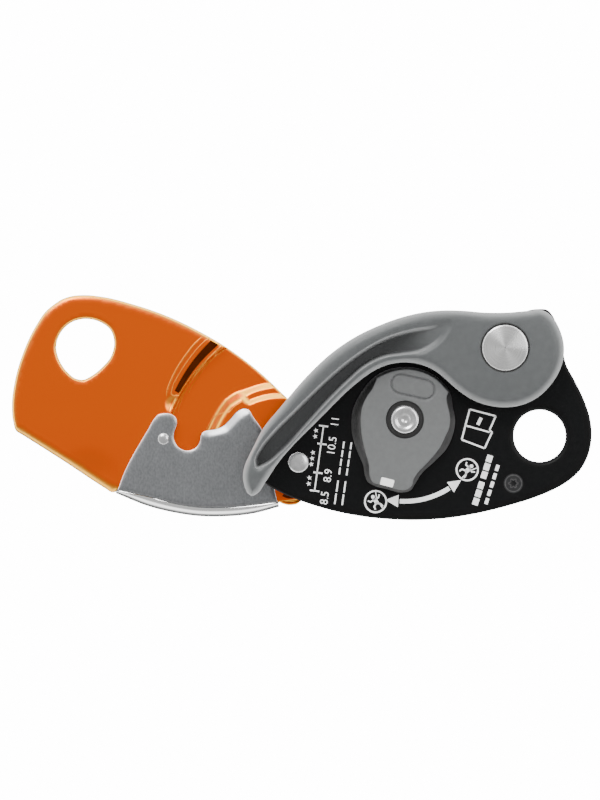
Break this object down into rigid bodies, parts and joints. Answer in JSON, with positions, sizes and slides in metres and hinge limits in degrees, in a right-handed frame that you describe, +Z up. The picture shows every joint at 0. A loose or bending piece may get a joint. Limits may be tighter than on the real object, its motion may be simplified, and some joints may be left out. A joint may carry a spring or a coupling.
{
  "type": "rope grab",
  "caption": "Assisted-braking rope grab laid open: black fixed plate with cam, folding grey handle and mode knob, orange pivoting side plate with steel wear plate.",
  "frame": {"origin": "centre of the round carabiner hole, half way through the fixed plate's thickness", "axes": "+X along the open device away from the moving plate, +Z up with the handle at the top, +Y from the handle side through the fixed plate to the rope gap"},
  "size_m": [0.1881, 0.0342, 0.0737],
  "materials": {
    "black_coat": "satin black coating on aluminium sheet",
    "orange_anodised": "glossy orange anodised aluminium",
    "wear_steel": "fine grained stainless steel, polished lip",
    "plain_steel": "machined steel",
    "bright_steel": "turned steel",
    "spring_steel": "spring wire",
    "black_steel": "blackened steel",
    "bronze": "bearing bronze",
    "grey_plastic": "satin grey reinforced nylon",
    "knob_plastic": "satin light grey",
    "black_plastic": "satin black",
    "white_plastic": "satin white"
  },
  "bodies": {
    "fixed_side": {"fixed_plate": "black_coat", "friction_shoe": "plain_steel", "shoe_rivets": "plain_steel", "cam_axle": "bright_steel", "axle_washer": "black_plastic", "cam_shim": "bronze", "cam_retainer": "plain_steel", "pivot_rivet": "bright_steel", "pivot_sleeve": "plain_steel", "friction_washer": "plain_steel", "handle_bush": "bronze", "lock_screw": "black_steel", "stop_post": "plain_steel", "handle_stop_pin": "plain_steel", "cam_stop_pin": "plain_steel", "detent_ball": "bright_steel"},
    "cam_group": {"cam": "plain_steel", "cam_bush": "bronze", "cam_pin": "bright_steel", "cam_spring": "spring_steel"},
    "moving_side": {"moving_plate": "orange_anodised", "pivot_bush": "bronze", "wear_plate": "wear_steel", "wear_rivets": "bright_steel"},
    "handle_group": {"handle_lever": "grey_plastic", "handle_axle": "bright_steel", "handle_ring": "black_plastic", "release_finger": "plain_steel", "finger_clip": "spring_steel", "handle_spring": "spring_steel"},
    "knob_group": {"knob_skirt": "black_plastic", "mode_knob": "knob_plastic", "knob_index": "white_plastic"}
  },
  "joints": [
    {"name": "moving_plate_pivot", "type": "hinge", "parent": "fixed_side", "child": "moving_side", "pos_m": [-0.0779, 0, -0.00855], "axis": [0, 1, 0], "range_deg": [-10, 146]},
    {"name": "handle_pivot", "type": "hinge", "parent": "fixed_side", "child": "handle_group", "pos_m": [-0.0114, 0, 0.0284], "axis": [0, 1, 0], "range_deg": [0, 105], "stiffness_Nm_per_rad": 0.06, "springref_deg": -20.05},
    {"name": "cam_pivot", "type": "hinge", "parent": "fixed_side", "child": "cam_group", "pos_m": [-0.0436, 0, 0.0053], "axis": [0, 1, 0], "range_deg": [0, 25], "stiffness_Nm_per_rad": 0.02, "springref_deg": -28.65},
    {"name": "mode_knob_turn", "type": "hinge", "parent": "fixed_side", "child": "knob_group", "pos_m": [-0.0436, 0, 0.0053], "axis": [0, 1, 0], "range_deg": [-70, 0]}
  ]
}
